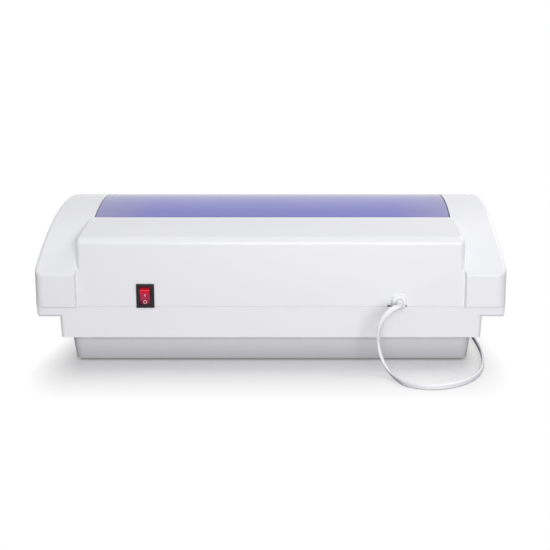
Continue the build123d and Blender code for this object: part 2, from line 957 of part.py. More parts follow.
def tool_rack():
    """A welded wire rack: a bent frame with cross wires laid over it."""
    middle = (rack_back - rack_front) / 2
    depth = rack_back + rack_front
    height = rack_height + rack_wire_radius
    outline = Wire(
        (Pos(0, middle, height) * RectangleRounded(2 * rack_half_length, depth, rack_corner))
        .wires()[0].edges()
    )
    start = Plane(outline @ 0, z_dir=outline % 0)
    body = sweep(start * Circle(rack_wire_radius), path=outline)
    count = int((2 * rack_half_length - 2 * rack_corner) / rack_pitch)
    level = height + rack_wire_radius
    for i in range(count + 1):
        x = (i - count / 2) * rack_pitch
        body += rod((x, -rack_front, level), (x, rack_back, level), rack_bar_radius)
    return body


def rear_plate():
    """The plate between the chamber and the mains parts."""
    half = opening_half_width - shell_gap
    return block(
        (-half, plate_front, floor_top + shell_gap),
        (half, plate_back, trough_floor - wall - shell_gap),
    )


def lamp_glass():
    return rod((-lamp_glass_half, lamp_y, lamp_z), (lamp_glass_half, lamp_y, lamp_z), lamp_radius)


def lamp_caps():
    caps = []
    for side in (-1, 1):
        start = side * lamp_glass_half
        end = start + side * lamp_cap_length
        cap = rod((start, lamp_y, lamp_z), (end, lamp_y, lamp_z), lamp_cap_radius)
        caps.append(cap)
    return caps


def lamp_pins():
    pins = []
    for side in (-1, 1):
        start = side * (lamp_glass_half + lamp_cap_length)
        end = start + side * lamp_pin_length
        for z in (-lamp_pin_spacing / 2, lamp_pin_spacing / 2):
            pins.append(rod((start, lamp_y, lamp_z + z), (end, lamp_y, lamp_z + z), lamp_pin_radius))
    return pins


def lamp_holder(side):
    """A push-in holder on the plate, with a slot that takes the lamp's pins from the front."""
    start = side * (lamp_glass_half + lamp_cap_length + shell_gap)
    end = start + side * holder_thickness
    low, high = sorted((start, end))
    body = block((low, holder_front, holder_low), (high, plate_front, holder_high))
    body = fillet(body.edges().filter_by(Axis.X).sort_by(Axis.Y)[:2], lamp_radius)
    slot_end = start + side * (lamp_pin_length + holder_slot_room)
    slot_low, slot_high = sorted((start, slot_end))
    half = lamp_pin_spacing / 2 + holder_slot / 2
    body -= block(
        (slot_low, lamp_y - holder_slot / 2, lamp_z - half),
        (slot_high, lamp_y + holder_slot / 2, lamp_z + half),
    )
    body -= block(
        (slot_low, holder_front - 1, lamp_z - holder_slot / 2),
        (slot_high, lamp_y, lamp_z + holder_slot / 2),
    )
    return body


def reflector():
    """Bright sheet folded behind the lamp, fixed to the plate."""
    back = plate_front - shell_gap - sheet / 2
    line = Polyline(
        (lamp_y + reflector_low_reach, lamp_z - reflector_low_edge),
        (back, lamp_z - reflector_low_bend),
        (back, lamp_z + reflector_high_bend),
        (lamp_y + reflector_high_reach, lamp_z + reflector_high_edge),
    )
    half = lamp_glass_half - reflector_end_gap
    return across(Plane.YZ * trace(line, line_width=sheet), half)


def ballast_winding():
    """The choke's coil, through the core and out at both its ends."""
    half = ballast_core_length / 2 + winding_overhang
    deep = ballast_core_depth / 2 - winding_inset
    low = floor_top + pan_post_height + sheet + winding_inset
    high = low + ballast_core_height - 2 * winding_inset
    body = block(
        (ballast_x - half, mains_y - deep, low), (ballast_x + half, mains_y + deep, high)
    )
    return fillet(body.edges().filter_by(Axis.Z), winding_overhang / 2)


def ballast_core():
    half, deep = ballast_core_length / 2, ballast_core_depth / 2
    low = floor_top + pan_post_height + sheet
    body = block(
        (ballast_x - half, mains_y - deep, low),
        (ballast_x + half, mains_y + deep, low + ballast_core_height),
    )
    deep = deep - winding_inset + winding_gap
    low = low + winding_inset - winding_gap
    high = low + ballast_core_height - 2 * (winding_inset - winding_gap)
    tunnel = block(
        (ballast_x - half - 1, mains_y - deep, low), (ballast_x + half + 1, mains_y + deep, high)
    )
    return body - tunnel


def ballast_pan():
    """The steel pan under the choke, on two posts of the tub."""
    half, deep = pan_length / 2, ballast_core_depth / 2
    low = floor_top + pan_post_height
    body = block(
        (ballast_x - half, mains_y - deep, low), (ballast_x + half, mains_y + deep, low + sheet)
    )
    for x in pan_posts():
        body -= rod((x, mains_y, low - 1), (x, mains_y, low + 2), screw_radius + screw_clearance)
    return body


def ballast_screws():
    screws = []
    seat = floor_top + pan_post_height + sheet
    for x in pan_posts():
        head = rod((x, mains_y, seat), (x, mains_y, seat + screw_head_height), pan_screw_radius)
        screws.append(head + rod((x, mains_y, floor_top + pin_end_gap), (x, mains_y, seat), screw_radius))
    return screws


def starter_socket():
    body = rod(
        (starter_x, mains_y, floor_top), (starter_x, mains_y, floor_top + socket_height),
        socket_radius,
    )
    seat = floor_top + socket_height / 2
    return body - rod(
        (starter_x, mains_y, seat), (starter_x, mains_y, floor_top + socket_height + 1),
        starter_radius + screw_clearance,
    )


def starter():
    low = floor_top + socket_height / 2
    body = rod((starter_x, mains_y, low), (starter_x, mains_y, low + starter_length), starter_radius)
    return fillet(body.edges().sort_by(Axis.Z)[-1:], starter_round)


def terminal_block():
    low = floor_top
    body = block(
        (terminals_x - terminals_length / 2, mains_y - terminals_depth / 2, low),
        (terminals_x + terminals_length / 2, mains_y + terminals_depth / 2, low + terminals_height),
    )
    for i in (-1, 0, 1):
        for side in (-1, 1):
            x = terminals_x + i * terminal_pitch
            y = mains_y + side * terminals_depth / 4
            top = low + terminals_height
            body -= rod((x, y, top - terminals_height / 2), (x, y, top + 1), terminal_hole_radius)
    return body


def save(name, shape):
    """Writes one named piece, or a group of like pieces, to its own file."""
    pieces = shape if isinstance(shape, list) else [shape]
    solids = [solid for piece in pieces for solid in piece.solids()]
    export_step(solids[0] if len(solids) == 1 else Compound(children=solids), f"parts/{name}.step")


os.makedirs("parts", exist_ok=True)
save("upper_shell", upper_shell())
save("base_shell", base_shell())
save("feet", feet())
save("shell_screws", shell_screws())
save("lid", lid())
save("hinge_pins", hinge_pins())
save("switch_housing", switch_housing())
save("switch_rocker", switch_rocker())
save("switch_tabs", switch_tabs())
save("strain_relief", strain_relief())
cord, cord_length = mains_cord()
coil, coil_length = cord_coil()
print("whole cord", round(cord_length + coil_length, 1))
save("mains_cord", cord)
save("cord_coil", coil)
save("plug_body", plug_body())
save("plug_pins", plug_pins())
save("tool_rack", tool_rack())
save("rear_plate", rear_plate())
save("lamp_glass", lamp_glass())
save("lamp_caps", lamp_caps())
save("lamp_pins", lamp_pins())
save("lamp_holder_left", lamp_holder(1))
save("lamp_holder_right", lamp_holder(-1))
save("reflector", reflector())
save("ballast_core", ballast_core())
save("ballast_winding", ballast_winding())
save("ballast_pan", ballast_pan())
save("ballast_screws", ballast_screws())
save("starter_socket", starter_socket())
save("starter", starter())
save("terminal_block", terminal_block())
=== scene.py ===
import bpy
import math
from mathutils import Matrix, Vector


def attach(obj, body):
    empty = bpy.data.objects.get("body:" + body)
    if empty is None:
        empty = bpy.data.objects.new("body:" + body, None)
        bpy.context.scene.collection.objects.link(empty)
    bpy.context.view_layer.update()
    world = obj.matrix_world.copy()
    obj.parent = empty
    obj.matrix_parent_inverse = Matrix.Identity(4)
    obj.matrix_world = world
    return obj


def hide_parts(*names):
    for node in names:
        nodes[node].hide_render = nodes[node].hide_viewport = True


# A countertop UV steriliser seen from behind: white moulded shells, a violet lid, a red
# rocker switch and a flat white mains cord. Lengths are in metres. The back faces +Y.

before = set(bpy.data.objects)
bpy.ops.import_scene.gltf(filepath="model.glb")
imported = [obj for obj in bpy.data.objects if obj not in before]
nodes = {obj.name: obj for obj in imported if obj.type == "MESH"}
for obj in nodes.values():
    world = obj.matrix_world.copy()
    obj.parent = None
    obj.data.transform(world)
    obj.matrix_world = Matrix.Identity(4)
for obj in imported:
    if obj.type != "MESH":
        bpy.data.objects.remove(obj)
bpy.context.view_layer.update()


def put(name, data):
    """A new object in the scene that holds a mesh, a camera or a lamp."""
    made = bpy.data.objects.new(name, data)
    bpy.context.scene.collection.objects.link(made)
    return made


def mesh_piece(name, vertices, faces):
    mesh = bpy.data.meshes.new(name)
    mesh.from_pydata([tuple(v) for v in vertices], [], faces)
    mesh.update()
    return put(name, mesh)


def heading(spots, i):
    """Which way a line of spots runs at one of them."""
    return (spots[min(i + 1, len(spots) - 1)] - spots[max(i - 1, 0)]).normalized()


# Camera: behind the housing and a little above it, level from side to side
camera_data = bpy.data.cameras.new("camera")
camera_data.lens = 60.48
camera_data.sensor_width = 36.0
camera_data.shift_x = -0.0583
camera_data.clip_end = 50.0
camera = put("camera", camera_data)
camera.location = (-0.0312, 0.8958, 0.2010)
camera.rotation_euler = (math.radians(81.0), 0.0, math.radians(180.0))
bpy.context.scene.camera = camera


# Mains cord: a flat twin lead
CORD_WIDTH, CORD_THICKNESS = 0.0048, 0.0027
GROOVE_DEPTH, GROOVE_WIDTH = 0.16, 0.28  # shares of half the thickness and half the width
EDGE_POWER = 0.8  # below 1 the outline is fuller than an ellipse
SECTION_POINTS = 20
LIE = 0.0024  # height of its middle where it stands on its narrow edge

# Its put-away length: turns inwards on the table, a climb, and turns outwards above them
COIL_X, COIL_Y = -0.148, -0.160
COIL_OUTER = 0.0380  # radius of the first turn
COIL_PITCH = 0.0061  # from turn to turn
COIL_STEP = 0.0053  # from layer to layer
TURNS_IN, TURNS_CLIMB, TURNS_OUT = 2.5, 0.5, 2.25
TURN_POINTS = 16

# Its free run: from the bush to the table, in a loop behind the housing, along its side
FREE_RUN = [
    (-0.1105, 0.1225, 0.0537),
    (-0.1105, 0.1311, 0.0537),
    (-0.1059, 0.1394, 0.0540),
    (-0.0984, 0.1460, 0.0514),
    (-0.0927, 0.1496, 0.0439),
    (-0.0902, 0.1494, 0.0342),
    (-0.0903, 0.1479, 0.0240),
    (-0.0924, 0.1495, 0.0144),
    (-0.0961, 0.1555, 0.0068),
    (-0.1002, 0.1641, 0.0029),
    (-0.1033, 0.1755, LIE),
    (-0.1079, 0.1915, LIE),
    (-0.1285, 0.2025, LIE),
    (-0.1535, 0.1905, LIE),
    (-0.1725, 0.1620, LIE),
    (-0.1835, 0.1210, LIE),
    (-0.1895, 0.0720, LIE),
    (-0.1915, 0.0220, LIE),
    (-0.1915, -0.0280, LIE),
    (-0.1895, -0.0780, LIE),
    (COIL_X - COIL_OUTER, -0.1120, LIE),
]

# Which way its broad side lies, by the length gone from the bush: it turns as it drops
TWIST = [
    (0.000, Vector((1, 0, 0))),
    (0.010, Vector((0.9, 0, 0.4))),
    (0.024, Vector((0.79, 0.05, 0.62))),
    (0.040, Vector((0.75, 0.6, 0.25))),
    (0.056, Vector((0.36, 0.92, 0.1))),
    (0.085, Vector((0.4, 0.6, 0.68))),
    (0.120, Vector((0.1, 0.1, 1))),
]

# The plug beside the coil, and the straight run of cord that leads to it
EXIT_RUN = 0.020
PLUG_THICKNESS, PLUG_LENGTH, PLUG_RELIEF = 0.0137, 0.0353, 0.022


def coil_point(turn):
    """Middle of the put-away cord after so many turns."""
    inner = COIL_OUTER - COIL_PITCH * TURNS_IN
    if turn <= TURNS_IN:
        radius, height = COIL_OUTER - COIL_PITCH * turn, LIE
    elif turn <= TURNS_IN + TURNS_CLIMB:
        share = (turn - TURNS_IN) / TURNS_CLIMB
        radius, height = inner, LIE + COIL_STEP * (1 - math.cos(math.pi * share)) / 2
    else:
        radius = inner + COIL_PITCH * (turn - TURNS_IN - TURNS_CLIMB)
        height = LIE + COIL_STEP
    angle = math.pi + 2 * math.pi * turn
    return (COIL_X + radius * math.cos(angle), COIL_Y + radius * math.sin(angle), height)


def coil_turns():
    count = round((TURNS_IN + TURNS_CLIMB + TURNS_OUT) * TURN_POINTS)
    return [coil_point(i / TURN_POINTS) for i in range(count + 1)]


def cord_end(last):
    """The straight end of the cord, which dips a little from the upper turns to the plug."""
    dip = (LIE + COIL_STEP - PLUG_THICKNESS / 2) / (EXIT_RUN + PLUG_RELIEF + PLUG_LENGTH)
    along = Vector((1, 0, -dip)).normalized()
    return [tuple(Vector(last) + along * EXIT_RUN * share) for share in (0.4, 1.0)]


def smooth_line(route):
    """Spots along one smooth curve that follows the route."""
    data = bpy.data.curves.new("cord_line", "CURVE")
    data.dimensions = "3D"
    spline = data.splines.new("NURBS")
    spline.points.add(len(route) - 1)
    for spot, point in zip(spline.points, route):
        spot.co = (*point, 1.0)
    spline.order_u = 3
    spline.use_endpoint_u = True
    spline.resolution_u = 10
    mesh = bpy.data.meshes.new_from_object(bpy.data.objects.new("cord_line", data))
    spots = [v.co.copy() for v in mesh.vertices]
    bpy.data.meshes.remove(mesh)
    return spots


def broad_ways(spots):
    """The broad side's direction at each spot, blended between the stations of TWIST."""
    ways, gone = [], 0.0
    for i, spot in enumerate(spots):
        if i:
            gone += (spot - spots[i - 1]).length
        before = [key for key in TWIST if key[0] <= gone][-1]
        after = ([key for key in TWIST if key[0] > gone] or [before])[0]
        share = (gone - before[0]) / (after[0] - before[0]) if after is not before else 0.0
        ways.append(before[1].normalized().lerp(after[1].normalized(), share))
    return ways


def twin_section():
    """Outline of the flat lead: two round cores side by side with a groove between."""
    outline = []
    for i in range(SECTION_POINTS):
        angle = 2 * math.pi * i / SECTION_POINTS
        across, up = math.cos(angle), math.sin(angle)
        waist = 1 - GROOVE_DEPTH * math.exp(-((across / GROOVE_WIDTH) ** 2))
        broad = math.copysign(abs(across) ** EDGE_POWER, across)
        outline.append((broad * CORD_WIDTH / 2, up * waist * CORD_THICKNESS / 2))
    return outline


def twin_lead(name, spots, ways):
    """The flat lead drawn along the spots, closed at both ends."""
    outline = twin_section()
    size = len(outline)
    vertices, faces = [], []
    for i, spot in enumerate(spots):
        ahead = heading(spots, i)
        broad = (ways[i] - ahead * ways[i].dot(ahead)).normalized()
        thin = ahead.cross(broad)
        vertices += [spot + broad * a + thin * b for a, b in outline]
    for i in range(len(spots) - 1):
        for j in range(size):
            k = (j + 1) % size
            faces.append((i * size + j, i * size + k, (i + 1) * size + k, (i + 1) * size + j))
    faces.append(tuple(range(size))[::-1])
    faces.append(tuple(range((len(spots) - 1) * size, len(spots) * size)))
    lead = mesh_piece(name, vertices, faces)
    lead.data.shade_smooth()
    return lead


turns = coil_turns()
cord_path = smooth_line(FREE_RUN + turns + cord_end(turns[-1]))
cord = twin_lead("flat_cord", cord_path, broad_ways(cord_path))
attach(cord, "housing")
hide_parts("mains_cord", "cord_coil")


# Finishes
class Tone:
    """A socket that takes part in sums: + - * between tones and numbers add Math nodes."""

    def __init__(self, graph, socket):
        self.graph = graph
        self.socket = socket

    def math(self, operation, *values):
        return self.graph.node("ShaderNodeMath", {"operation": operation}, *values)

    def __add__(self, other):
        return self.math("ADD", self, other)

    def __radd__(self, other):
        return self.math("ADD", other, self)

    def __sub__(self, other):
        return self.math("SUBTRACT", self, other)

    def __rsub__(self, other):
        return self.math("SUBTRACT", other, self)

    def __mul__(self, other):
        return self.math("MULTIPLY", self, other)

    def __rmul__(self, other):
        return self.math("MULTIPLY", other, self)


class Graph:
    """The nodes of a material or of the world."""

    def __init__(self, tree):
        self.tree = tree

    def link(self, value, socket):
        """Gives a socket a tone or a plain value; None leaves it as it is."""
        if isinstance(value, Tone):
            self.tree.links.new(value.socket, socket)
        elif value is not None:
            socket.default_value = value

    def node(self, kind, settings=None, *values, out=0, **named):
        """Any node: its settings come first, then its sockets in their order or by name."""
        made = self.tree.nodes.new(kind)
        for key, value in (settings or {}).items():
            if key == "stops":
                self.set_stops(made.color_ramp, value)
            else:
                setattr(made, key, value)
        for socket, value in zip(made.inputs, values):
            self.link(value, socket)
        for key, value in named.items():
            self.link(value, made.inputs[key.replace("_", " ")])
        return Tone(self, made.outputs[out])

    def set_stops(self, ramp, stops):
        while len(ramp.elements) < len(stops):
            ramp.elements.new(1.0)
        for element, (place, color) in zip(ramp.elements, stops):
            element.position = place
            element.color = (*color, 1.0)

    def vector(self, operation, *values, out=0):
        return self.node("ShaderNodeVectorMath", {"operation": operation}, *values, out=out)


class Look(Graph):
    """One material and its shader, with short ways to add the nodes it needs."""

    def __init__(self, name, color, roughness, **shader):
        self.material = bpy.data.materials.new(name)
        self.material.use_nodes = True
        super().__init__(self.material.node_tree)
        self.shader = self.tree.nodes["Principled BSDF"]
        self.set("Base Color", (*color, 1.0))
        self.set("Roughness", roughness)
        for socket, value in shader.items():
            self.set(socket.replace("_", " "), value)

    def set(self, socket, value):
        self.link(value, self.shader.inputs[socket])

    def place(self):
        return self.node("ShaderNodeTexCoord", out="Object")

    def part_of(self, vector, axis):
        return self.node("ShaderNodeSeparateXYZ", None, vector, out=axis)

    def stretched(self, scale):
        return self.node("ShaderNodeMapping", None, Vector=self.place(), Scale=scale)

    def noise(self, scale, detail=3.0, rough=0.55, vector=None):
        return self.node(
            "ShaderNodeTexNoise", None, Vector=vector or self.place(), Scale=scale,
            Detail=detail, Roughness=rough,
        )

    def between(self, tone, low, high, start=0.0, end=1.0):
        """From start to end while the tone goes from low to high, and level outside that."""
        return self.node("ShaderNodeMapRange", None, tone, low, high, start, end)

    def mixed(self, share, one, other):
        """A colour between two. Five sockets for other kinds of value stand before theirs."""
        colors = [c if isinstance(c, Tone) else (*c, 1.0) for c in (one, other)]
        settings = {"data_type": "RGBA"}
        return self.node("ShaderNodeMix", settings, share, *[None] * 5, *colors, out=2)

    def bump(self, height, strength, distance):
        self.set("Normal", self.node(
            "ShaderNodeBump", None, Strength=strength, Distance=distance, Height=height,
        ))

    def edge_wear(self):
        """1 on sharp edges, 0 on flats: how far a rounded normal departs from the real one."""
        soft = self.node("ShaderNodeBevel", {"samples": 4}, Radius=0.0008)
        true = self.node("ShaderNodeNewGeometry", out="Normal")
        return self.between(self.vector("DOT_PRODUCT", soft, true, out="Value"), 0.97, 0.75)


def moulded_white():
    """The upper shell's plastic: a satin skin with a fine orange peel and faint flow marks."""
    look = Look(
        "moulded_white", (0.83, 0.84, 0.865), 0.32, Specular_IOR_Level=0.45,
        Coat_Weight=0.12, Coat_Roughness=0.18,
    )
    flow = look.noise(1.0, 4.0, 0.6, look.stretched((7.0, 9.0, 26.0)))
    specks = look.noise(240.0, 2.0)
    look.set("Base Color", look.mixed(
        look.between(flow, 0.3, 0.7), (0.822, 0.833, 0.86), (0.84, 0.848, 0.87),
    ))
    look.set("Roughness", look.between(flow, 0.25, 0.75, 0.28, 0.37) + specks * 0.04)
    look.bump(look.noise(900.0, 2.0) + look.noise(60.0, 2.0) * 0.5, 0.06, 0.0002)
    return look


# Heights on the tub that bound the painted shade on the foot step: its lower edge, its top, and
# the rim above it
STEP_FOOT, STEP_TOP, RIM_FOOT = 0.002, 0.0215, 0.0235


def tub_white():
    """The lower shell's plastic: a finer grain, and painted shade on the foot step that darkens
    towards its foot.
    """
    look = Look("tub_white", (0.85, 0.857, 0.88), 0.42, Specular_IOR_Level=0.42)
    flow = look.noise(1.0, 4.0, 0.6, look.stretched((6.0, 8.0, 20.0)))
    plain_tone = look.mixed(
        look.between(flow, 0.3, 0.7), (0.852, 0.86, 0.885), (0.866, 0.873, 0.893),
    )
    height = look.part_of(look.place(), "Z") + (flow - 0.5) * 0.004
    # Painted shade on the foot step, darkest at its foot
    painted_shade_step = look.mixed(
        look.between(height, STEP_FOOT, STEP_TOP), (0.50, 0.505, 0.53), (0.73, 0.735, 0.76),
    )
    look.set("Base Color", look.mixed(look.between(height, STEP_TOP, RIM_FOOT), painted_shade_step, plain_tone))
    look.set("Roughness", look.between(flow, 0.25, 0.75, 0.38, 0.47))
    look.bump(look.noise(1300.0, 2.0), 0.08, 0.0002)
    return look


# The lid's zones, as distances from its middle: painted shade on the lower slopes, painted
# reflection on the crown and the ends
SLOPE_START, SLOPE_END = 0.034, 0.056
CROWN_START, CROWN_END = 0.030, 0.004
END_START, END_END, END_SHARE = 0.110, 0.158, 0.75


def violet_acrylic():
    """The lid: smoked violet acrylic, polished, with painted shade deepening its lower slopes and
    a painted grey reflection on its crown and ends.
    """
    look = Look("violet_acrylic", (0.27, 0.28, 0.65), 0.09, IOR=1.49, Alpha=0.92)
    wiped = look.noise(1.0, 5.0, 0.65, look.stretched((30.0, 260.0, 260.0)))
    cloud = look.between(look.noise(14.0, 3.0), 0.3, 0.7)
    tint_and_painted_light = look.mixed(cloud, (0.275, 0.285, 0.685), (0.30, 0.31, 0.72))
    spread = look.vector("ABSOLUTE", look.place())
    down = look.part_of(spread, "Y") + (wiped - 0.5) * 0.006
    side = look.part_of(spread, "X") + (wiped - 0.5) * 0.02
    # Painted shade on the lower slopes, then a painted grey reflection on the crown and the ends
    tint_and_painted_light = look.mixed(look.between(down, SLOPE_START, SLOPE_END), tint_and_painted_light, (0.225, 0.235, 0.60))
    tint_and_painted_light = look.mixed(look.between(down, CROWN_START, CROWN_END), tint_and_painted_light, (0.330, 0.325, 0.57))
    tint_and_painted_light = look.mixed(
        look.between(side, END_START, END_END, 0.0, END_SHARE), tint_and_painted_light, (0.36, 0.355, 0.57),
    )
    look.set("Base Color", tint_and_painted_light)
    look.set("Roughness", look.between(wiped, 0.35, 0.8, 0.07, 0.14))
    look.bump(look.noise(35.0, 2.0), 0.04, 0.0003)
    return look


def brushed(name, color, roughness, grain):
    """Metal with a drawn grain along one way, darker in its lines."""
    look = Look(name, color, roughness, Metallic=1.0)
    lines = look.noise(1.0, 5.0, 0.7, look.stretched(grain))
    dark = tuple(0.86 * c for c in color)
    look.set("Base Color", look.mixed(look.between(lines, 0.3, 0.7), dark, color))
    look.set("Roughness", look.between(lines, 0.25, 0.75, roughness * 0.8, roughness * 1.3))
    look.bump(lines, 0.08, 0.00015)
    return look


def polished(name, color, roughness):
    """Bright plated metal with faint handling marks."""
    look = Look(name, color, roughness, Metallic=1.0)
    marks = look.noise(70.0, 4.0, 0.6)
    dull = tuple(0.9 * c for c in color)
    look.set("Roughness", look.between(marks, 0.35, 0.7, roughness * 0.7, roughness * 1.6))
    look.set("Base Color", look.mixed(look.between(marks, 0.3, 0.75), color, dull))
    return look


def plain_plastic(name, color, roughness, grain=700.0, worn=None):
    """Moulded plastic or rubber with a grained skin; a worn colour shows where edges rub."""
    look = Look(name, color, roughness)
    blot = look.noise(45.0, 3.0)
    base = look.mixed(look.between(blot, 0.3, 0.7), color, tuple(0.93 * c for c in color))
    if worn:
        base = look.mixed(look.edge_wear() * 0.6, base, worn)
    look.set("Base Color", base)
    look.set("Roughness", look.between(blot, 0.3, 0.7, roughness * 0.9, roughness * 1.12))
    look.bump(look.noise(grain, 2.0), 0.1, 0.0001)
    return look


# Heights of the switch key's lower end, the ridge across its middle and its upper end
KEY_FOOT, KEY_RIDGE, KEY_TOP = 0.0521, 0.0595, 0.0669


def red_rocker():
    """The switch's clear red key, with painted light on its upper end and painted shade on its
    lower end.
    """
    look = Look("red_rocker", (0.5, 0.015, 0.035), 0.2, IOR=1.5, Coat_Weight=0.25)
    height = look.part_of(look.place(), "Z")
    # Painted light and shade by height: dark at the key's foot, bright towards its top
    stops = [
        (0.05, (0.070, 0.005, 0.018)),
        (0.30, (0.35, 0.016, 0.056)),
        (0.64, (0.62, 0.030, 0.085)),
        (0.72, (0.76, 0.006, 0.026)),
        (0.97, (0.80, 0.010, 0.034)),
    ]
    painted_light_and_shade = look.node(
        "ShaderNodeValToRGB", {"stops": stops}, look.between(height, KEY_FOOT, KEY_TOP),
    )
    clouds = look.noise(320.0, 2.0)
    look.set("Base Color", look.mixed(
        look.between(clouds, 0.45, 0.8, 0.0, 0.25), painted_light_and_shade, (0.42, 0.05, 0.07),
    ))
    look.set("Roughness", look.between(clouds, 0.3, 0.7, 0.16, 0.26))
    return look


def cord_pvc():
    """The flat cord's white PVC, a little chalky, with faint handling marks."""
    look = Look("cord_pvc", (0.86, 0.865, 0.89), 0.42, Specular_IOR_Level=0.5)
    handled = look.noise(38.0, 4.0)
    look.set("Base Color", look.mixed(
        look.between(handled, 0.35, 0.75), (0.87, 0.875, 0.90), (0.82, 0.825, 0.85),
    ))
    look.set("Roughness", look.between(handled, 0.3, 0.7, 0.36, 0.5))
    look.bump(look.noise(420.0, 2.0), 0.12, 0.00015)
    return look


def quartz():
    """The tube's clear quartz with a faint blue cast."""
    look = Look("quartz", (0.86, 0.90, 0.98), 0.03, IOR=1.46, Alpha=0.42)
    haze = look.noise(22.0, 3.0)
    look.set("Roughness", look.between(haze, 0.35, 0.75, 0.02, 0.09))
    look.set("Base Color", look.mixed(haze, (0.84, 0.89, 0.98), (0.90, 0.93, 0.99)))
    return look


# Runs between light and dark in a metre of the choke's core and of its winding
SHEET_RUNS, BAND_RUNS = 2000.0, 260.0


def zigzag(look, axis, runs):
    """A tone that goes up and down between 0 and 1 along an axis, so many runs a metre."""
    return look.node(
        "ShaderNodeMath", {"operation": "PINGPONG"},
        look.part_of(look.place(), axis) * runs, 1.0,
    )


def laminations():
    """The choke's core: a stack of varnished sheets, their edges as fine lines."""
    look = Look("laminations", (0.10, 0.10, 0.11), 0.38, Metallic=0.6)
    sheets = zigzag(look, "Y", SHEET_RUNS)
    look.set("Base Color", look.mixed(sheets, (0.05, 0.05, 0.055), (0.17, 0.17, 0.18)))
    look.bump(sheets, 0.5, 0.0002)
    return look


def taped_winding():
    """Varnished copper under an amber tape, wrapped in overlapping bands."""
    look = Look("taped_winding", (0.42, 0.20, 0.06), 0.3, Coat_Weight=0.3)
    bands = zigzag(look, "X", BAND_RUNS)
    look.set("Base Color", look.mixed(bands, (0.33, 0.14, 0.04), (0.55, 0.30, 0.10)))
    look.bump(bands, 0.3, 0.0003)
    return look


def dress(look, *names):
    for name in names:
        materials = nodes[name].data.materials
        materials.clear()
        materials.append(look.material)


dress(moulded_white(), "upper_shell")
dress(tub_white(), "base_shell")
dress(violet_acrylic(), "lid")
dress(
    plain_plastic("switch_black", (0.018, 0.011, 0.016), 0.24, worn=(0.05, 0.04, 0.048)),
    "switch_housing",
)
dress(red_rocker(), "switch_rocker")
dress(
    brushed("tab_brass", (0.72, 0.55, 0.25), 0.28, (400.0, 60.0, 400.0)),
    "switch_tabs", "lamp_pins",
)
dress(plain_plastic("foot_rubber", (0.32, 0.32, 0.33), 0.75, grain=500.0), "feet")
dress(
    polished("screw_steel", (0.62, 0.62, 0.64), 0.22),
    "shell_screws", "hinge_pins", "ballast_screws",
)
dress(polished("rack_wire", (0.72, 0.73, 0.75), 0.12), "tool_rack")
dress(polished("pin_nickel", (0.76, 0.74, 0.70), 0.14), "plug_pins")
dress(
    brushed("bright_sheet", (0.84, 0.85, 0.87), 0.24, (20.0, 900.0, 900.0)),
    "rear_plate", "reflector",
)
dress(brushed("cap_aluminium", (0.80, 0.81, 0.83), 0.3, (900.0, 60.0, 60.0)), "lamp_caps")
dress(brushed("pan_steel", (0.55, 0.56, 0.58), 0.34, (30.0, 700.0, 700.0)), "ballast_pan")
dress(
    plain_plastic("holder_plastic", (0.80, 0.80, 0.77), 0.4, worn=(0.86, 0.86, 0.84)),
    "lamp_holder_left", "lamp_holder_right", "starter_socket",
)
dress(plain_plastic("terminal_nylon", (0.78, 0.77, 0.70), 0.35, grain=300.0), "terminal_block")
dress(plain_plastic("starter_can", (0.74, 0.75, 0.77), 0.3, grain=250.0), "starter")
dress(plain_plastic("relief_pvc", (0.85, 0.855, 0.875), 0.38), "strain_relief", "plug_body")
dress(quartz(), "lamp_glass")
dress(laminations(), "ballast_core")
dress(taped_winding(), "ballast_winding")
cord.data.materials.append(cord_pvc().material)


# Marks on the switch's key, as a thin skin of ink: a bar over a ring
BAR_WIDTH, BAR_HEIGHT = 0.0010, 0.0024
RING_OUTER, RING_INNER, RING_SIDES = 0.0016, 0.00105, 32
MARK_DROP = 0.0011  # from a face's middle down to its mark's
INK_LIFT, INK_THICKNESS = 0.00004, 0.00006
KEY_SIDE = Vector((-1, 0, 0))
FACING_BACK, SAME_PLANE = 0.6, 0.999  # least Y of a normal, least product of two normals


def mark_bar():
    x, z = BAR_WIDTH / 2, BAR_HEIGHT / 2
    return [(-x, -z), (x, -z), (x, z), (-x, z)], [(0, 1, 2, 3)]


def mark_ring():
    count = RING_SIDES
    angles = [2 * math.pi * i / count for i in range(count)]
    outline = [
        (r * math.cos(a), r * math.sin(a)) for r in (RING_INNER, RING_OUTER) for a in angles
    ]
    faces = [(i, (i + 1) % count, count + (i + 1) % count, count + i) for i in range(count)]
    return outline, faces


def key_face(upper):
    """Middle, upward direction and outward normal of the key's upper or lower face."""
    found = [
        p for p in nodes["switch_rocker"].data.polygons
        if p.normal.y > FACING_BACK and (p.center.z > KEY_RIDGE) == upper
    ]
    biggest = max(found, key=lambda p: p.area)
    same = [p for p in found if p.normal.dot(biggest.normal) > SAME_PLANE]
    area = sum(p.area for p in same)
    middle = sum((p.center * p.area for p in same), Vector()) / area
    normal = biggest.normal.copy()
    return middle, normal.cross(KEY_SIDE), normal


def switch_mark(name, outline, faces, place, look):
    """A flat outline laid on one face of the key, as thick as ink."""
    middle, up, normal = place
    vertices = [
        middle + KEY_SIDE * x + up * (z - MARK_DROP) + normal * INK_LIFT for x, z in outline
    ]
    mark = mesh_piece(name, vertices, faces)
    mark.modifiers.new("ink", "SOLIDIFY").thickness = INK_THICKNESS
    mark.data.materials.append(look.material)
    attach(mark, "rocker")


ink = plain_plastic("mark_pink", (1.0, 0.42, 0.48), 0.5)
switch_mark("mark_bar", *mark_bar(), key_face(True), ink)
switch_mark("mark_ring", *mark_ring(), key_face(False), ink)


def shell_detail(name, vertices, faces, shell):
    """A small moulded piece inside the parting line, of one shell's own plastic."""
    piece = mesh_piece(name, vertices, faces)
    piece.data.materials.append(nodes[shell].data.materials[0])
    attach(piece, "housing")


